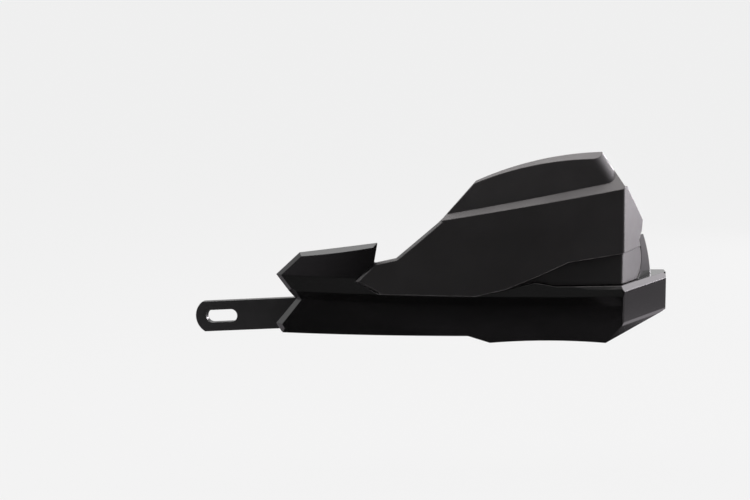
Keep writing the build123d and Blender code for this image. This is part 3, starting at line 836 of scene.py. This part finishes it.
# Places in metres from the origin, and levels of the mirrored floor.
FLOOR_PATCHES: dict[str, tuple[Fade, ...]] = {
    "front": (
        Fade(Along.SLANT, Ramp(-0.58, -0.68, DIM_FLOOR, 0.17)),
        Fade(Along.SLANT, Ramp(-0.78, -0.84, 1.0, 0.08)),
    ),
    "front_far": (Fade(Along.SLANT, Ramp(-1.15, -1.50, 0.0, 0.08)),),
    "front_right": (
        Fade(Along.RIGHT, Ramp(0.0, 0.16, 0.0, 0.75)),
        Fade(Along.BACK, Ramp(-0.60, -0.35)),
        Fade(Along.BACK, Ramp(-0.10, 0.0, 1.0, 0.0)),
    ),
    "left": (
        Fade(Along.RIGHT, Ramp(-0.28, -0.46, 0.0, 0.32)),
        Fade(Along.BACK, Ramp(-0.50, -0.38)),
    ),
    "left_near": (Fade(Along.RIGHT, Ramp(-0.34, -0.44)), Fade(Along.BACK, Ramp(-0.22, -0.10))),
    "left_far": (
        Fade(Along.RIGHT, Ramp(-0.42, -0.62, 0.0, 0.7)),
        Fade(Along.BACK, Ramp(-0.46, -0.36)),
    ),
    "right": (
        Fade(Along.RIGHT, Ramp(0.03, 0.17, 0.0, 0.65)),
        Fade(Along.RIGHT, Ramp(0.35, 0.60, 1.0, 0.55)),
        Fade(Along.BACK, Ramp(-0.10, 0.05)),
    ),
    "right_near": (
        Fade(Along.RIGHT, Ramp(0.10, 0.16)),
        Fade(Along.RIGHT, Ramp(0.22, 0.40, 1.0, 0.0)),
        Fade(Along.BACK, Ramp(0.0, 0.10)),
    ),
    "back": (Fade(Along.BACK, Ramp(0.30, 1.00, 0.0, SURROUND)),),
}


@dataclass
class Studio:
    """Pale floor, pale surround, soft lamps and the camera."""

    floor_drop: float = 0.10
    floor_reach: float = 30.0
    floor_share: float = 0.975
    floor_cloud: float = 0.8
    floor_tones: tuple[Colour, Colour] = ((0.70, 0.70, 0.70), (0.74, 0.74, 0.74))
    front_sky: Ramp = Ramp(0.05, 0.50, 0.03, 0.28)
    back_sky: Ramp = Ramp(-0.45, 0.35)
    camera_place: Point = (-0.2023, -1.5540, 0.2729)
    camera_tilt: float = 81.0
    camera_lens: float = 107.94
    camera_sensor: float = 36.0
    camera_reach: float = 100.0
    panels: tuple[Panel, ...] = (
        Panel("overhead", (-0.13, 0.12, 0.80), (-0.13, 0.12, 0.0), (0.8, 1.1), 4.6, WARM),
        Panel("low_far_right", (0.48, 1.03, 0.145), (-0.05, -0.05, 0.145), (0.34, 0.21), 27.0, ROSE),
        Panel("low_right", (1.04, 0.46, 0.145), (-0.05, -0.05, 0.145), (0.64, 0.21), 24.0, ROSE),
        Panel("far_right", (0.68, 0.60, 0.46), (-0.05, -0.05, 0.03), (0.5, 0.40), 2.4, ROSE),
        Panel("right_side", (0.90, -0.02, 0.46), (-0.05, -0.05, 0.03), (0.8, 0.45), 4.5, ROSE),
        Panel("left_high", (-0.75, -0.17, 0.75), (-0.18, -0.05, 0.03), (0.8, 0.5), 5.0),
        Panel("left_side", (-1.10, -0.02, 0.35), (-0.20, -0.05, 0.02), (0.6, 0.4), 0.9),
    )

    def floor(self, low: float) -> None:
        """Lay the floor below the part, as one large square.

        Args:
            low: Height of the part's lowest point in metres.
        """
        corners = self.floor_reach * np.array([[-1.0, -1.0], [1.0, -1.0], [1.0, 1.0], [-1.0, 1.0]])
        points = np.column_stack([corners, np.full(4, low - self.floor_drop)])
        mesh = bpy.data.meshes.new("floor")
        mesh.from_pydata(points.tolist(), [], [(0, 1, 2, 3)])
        laid = bpy.data.objects.new("floor", mesh)
        bpy.context.scene.collection.objects.link(laid)
        laid.data.materials.append(self.floor_material())
        laid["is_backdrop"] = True

    def floor_material(self) -> bpy.types.Material:
        """Make the floor's finish.

        Returns:
            Chalky pale paint. The camera sees it at the surround's level, with the part's shadow
            on it, and the part mirrors it as shaded patches.
        """
        made, graph = new_material("pale_floor")
        place = graph.add(Kind.COORDINATES).outputs["Object"]
        cloud = graph.noise(place, self.floor_cloud, detail=2.0)
        chalk = graph.add(Kind.CHALK, {"Color": graph.tint(cloud, *self.floor_tones)})
        level = graph.add(Kind.GLOW, {"Color": grey(SURROUND), "Strength": 1.0})
        patches = self.mirror_level(graph, place)
        mirror = graph.add(Kind.GLOW, {"Color": solid(ROSE), "Strength": patches})
        rays = graph.add(Kind.RAYS)
        mirrored = graph.larger(rays.outputs["Is Glossy Ray"], rays.outputs["Is Transmission Ray"])
        body = graph.add(Kind.BLEND, {"0": mirrored, "1": chalk.outputs[0], "2": mirror.outputs[0]})
        share = graph.product(rays.outputs["Is Camera Ray"], self.floor_share)
        blend = graph.add(Kind.BLEND, {"0": share, "1": body.outputs[0], "2": level.outputs[0]})
        graph.add(Kind.MATERIAL_OUT, {"Surface": blend.outputs[0]})
        return made

    def mirror_level(self, graph: Graph, place: Socket) -> Socket:
        """Shade the floor that the part mirrors: pale behind and at the sides, dim in front.

        Each patch is the product of its fades, and the palest patch shows.

        Args:
            graph: Node tree of the floor's finish.
            place: Floor coordinates in metres.

        Returns:
            Socket with the floor's brightness in reflections.
        """
        spot = graph.add(Kind.SPLIT, {"Vector": place})
        right, back = spot.outputs["X"], spot.outputs["Y"]
        slant = graph.sum(back, graph.product(right, FLOOR_SLANT))
        ways = {Along.RIGHT: right, Along.BACK: back, Along.SLANT: slant}
        levels = [
            reduce(graph.product, [graph.ramp(ways[fade.along], fade.ramp) for fade in fades])
            for fades in FLOOR_PATCHES.values()
        ]
        return reduce(graph.larger, levels)

    def surroundings(self) -> None:
        """Make the world: pale for the camera and behind, and dim low in front for the part."""
        world = bpy.data.worlds.new("pale_surround")
        bpy.context.scene.world = world
        world.use_nodes = True
        graph = Graph(world.node_tree)
        way = graph.add(Kind.SPLIT, {"Vector": graph.add(Kind.COORDINATES).outputs["Generated"]})
        front = graph.ramp(way.outputs["Z"], self.front_sky)
        behind = graph.ramp(way.outputs["Y"], self.back_sky)
        dim = graph.add(Kind.SKY, {"Color": solid(WHITE), "Strength": front})
        pale = graph.add(Kind.SKY, {"Color": grey(SURROUND), "Strength": 1.0})
        rays = graph.add(Kind.RAYS)
        seen = graph.larger(rays.outputs["Is Camera Ray"], behind)
        blend = graph.add(Kind.BLEND, {"0": seen, "1": dim.outputs[0], "2": pale.outputs[0]})
        graph.add(Kind.WORLD_OUT, {"Surface": blend.outputs[0]})

    def camera(self) -> None:
        """Stand the camera where the photograph was taken from."""
        lens = bpy.data.cameras.new("camera")
        lens.sensor_width = self.camera_sensor
        lens.lens = self.camera_lens
        lens.clip_end = self.camera_reach
        stand = bpy.data.objects.new("camera", lens)
        stand.location = self.camera_place
        stand.rotation_euler = (radians(self.camera_tilt), 0.0, 0.0)
        bpy.context.scene.collection.objects.link(stand)
        bpy.context.scene.camera = stand

    def set_up(self, low: float) -> None:
        """Lay the floor, hang the lamps and stand the camera.

        Args:
            low: Height of the part's lowest point in metres.
        """
        bpy.context.scene.view_settings.view_transform = "Standard"
        self.floor(low)
        self.surroundings()
        for panel in self.panels:
            panel.hang()
        self.camera()


def box_lists() -> list[list[float]]:
    """Give the shown part's lowest and highest corner as plain lists."""
    return [list(corner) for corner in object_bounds()]


def main() -> None:
    """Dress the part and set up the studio."""
    logging.basicConfig(level=logging.INFO, format="%(name)s: %(message)s")
    solid_box = box_lists()
    for group in (MouldedFrame(), WindDeflector(), StrapMount()):
        for name in group.build(frame["nodes"]):
            LOG.info("made %s", name)
    Studio().set_up(solid_box[0][2])


if __name__ == "__main__":
    main()
